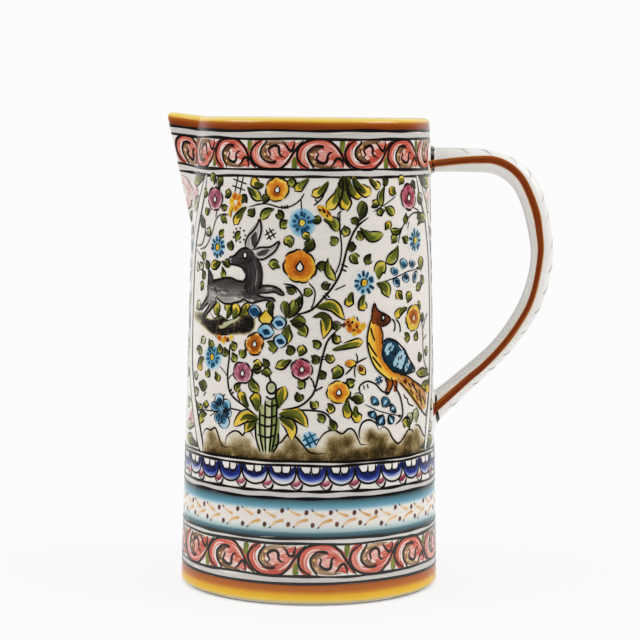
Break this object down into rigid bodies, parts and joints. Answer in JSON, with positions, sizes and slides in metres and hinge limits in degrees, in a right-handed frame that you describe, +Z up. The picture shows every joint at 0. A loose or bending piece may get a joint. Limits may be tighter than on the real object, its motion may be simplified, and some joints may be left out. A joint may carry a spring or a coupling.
{
  "type": "earthenware jug",
  "caption": "Tall tapered earthenware jug with a beak-shaped pouring lip and a strap handle, glazed and hand-painted, for carrying and pouring drinks.",
  "frame": {"origin": "middle of the flat underside, on the jug's axis", "axes": "+Z up along the jug's axis, +X towards the handle, -X towards the pouring lip"},
  "size_m": [0.1827, 0.1218, 0.222],
  "materials": {
    "painted_glaze": "glossy off-white glaze over fired clay, hand-painted in bands and a garden pattern",
    "white_glaze": "glossy plain off-white glaze over fired clay",
    "handle_glaze": "glossy off-white glaze with a brown brushed stripe along each edge",
    "bare_foot": "bare fired clay on the underside, dry and slightly rough, glazed on the inside"
  },
  "bodies": {
    "root": {"body_wall": "painted_glaze", "base_slab": "bare_foot", "floor_seam_coil": "white_glaze", "pouring_lip": "painted_glaze", "lip_seam_coil": "painted_glaze", "handle": "handle_glaze", "upper_handle_coil": "handle_glaze", "lower_handle_coil": "handle_glaze"}
  },
  "joints": []
}
